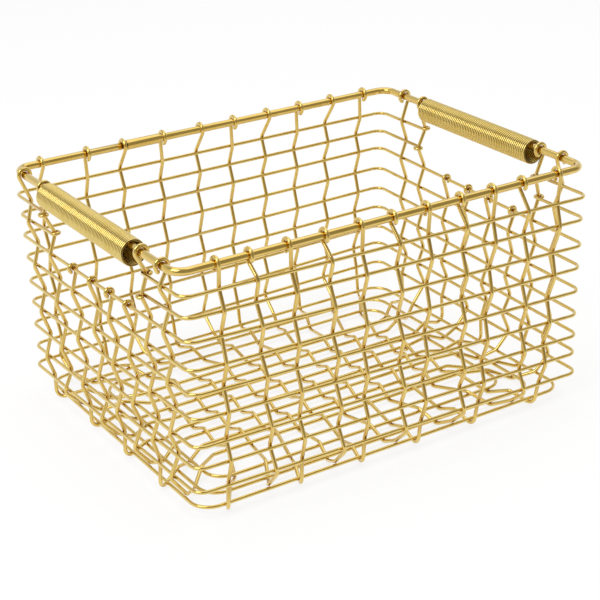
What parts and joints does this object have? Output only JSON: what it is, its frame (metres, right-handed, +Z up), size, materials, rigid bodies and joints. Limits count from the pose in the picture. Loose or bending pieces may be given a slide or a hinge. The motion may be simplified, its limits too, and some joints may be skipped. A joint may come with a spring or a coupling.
{
  "type": "wire basket",
  "caption": "Rectangular open basket woven from crimped brass wire, with a thick rim wire and a wound, turning wire grip on each short side.",
  "frame": {"origin": "middle of the basket's footprint, at the level of the lowest wires of the floor", "axes": "+X along the long side, +Y towards the back, +Z up"},
  "size_m": [0.4224, 0.3219, 0.2259],
  "materials": {
    "rim_brass": "polished",
    "mesh_brass": "polished",
    "grip_brass": "polished"
  },
  "bodies": {
    "basket": {"cross_wire_01": "mesh_brass", "cross_wire_02": "mesh_brass", "cross_wire_03": "mesh_brass", "cross_wire_04": "mesh_brass", "cross_wire_05": "mesh_brass", "cross_wire_06": "mesh_brass", "cross_wire_07": "mesh_brass", "cross_wire_08": "mesh_brass", "cross_wire_09": "mesh_brass", "cross_wire_10": "mesh_brass", "cross_wire_11": "mesh_brass", "floor_ring_1": "mesh_brass", "floor_ring_2": "mesh_brass", "floor_ring_3": "mesh_brass", "long_wire_1": "mesh_brass", "long_wire_2": "mesh_brass", "long_wire_3": "mesh_brass", "long_wire_4": "mesh_brass", "long_wire_5": "mesh_brass", "long_wire_6": "mesh_brass", "long_wire_7": "mesh_brass", "long_wire_8": "mesh_brass", "rim_joint_sleeve": "rim_brass", "rim_wire": "rim_brass", "wall_ring_1_back": "mesh_brass", "wall_ring_1_front": "mesh_brass", "wall_ring_2_back": "mesh_brass", "wall_ring_2_front": "mesh_brass", "wall_ring_3": "mesh_brass", "wall_ring_4": "mesh_brass", "wall_ring_5": "mesh_brass", "wall_ring_6": "mesh_brass", "wall_ring_7": "mesh_brass", "wall_ring_8": "mesh_brass", "wall_ring_9": "mesh_brass"},
    "grip_left": {"grip_coil_left": "grip_brass"},
    "grip_right": {"grip_coil_right": "grip_brass"}
  },
  "joints": [
    {"name": "left_grip_turn", "type": "hinge", "parent": "basket", "child": "grip_left", "pos_m": [-0.2, 0, 0.21307], "axis": [0, 1, 0], "continuous": true},
    {"name": "right_grip_turn", "type": "hinge", "parent": "basket", "child": "grip_right", "pos_m": [0.2, 0, 0.21307], "axis": [0, 1, 0], "continuous": true}
  ]
}
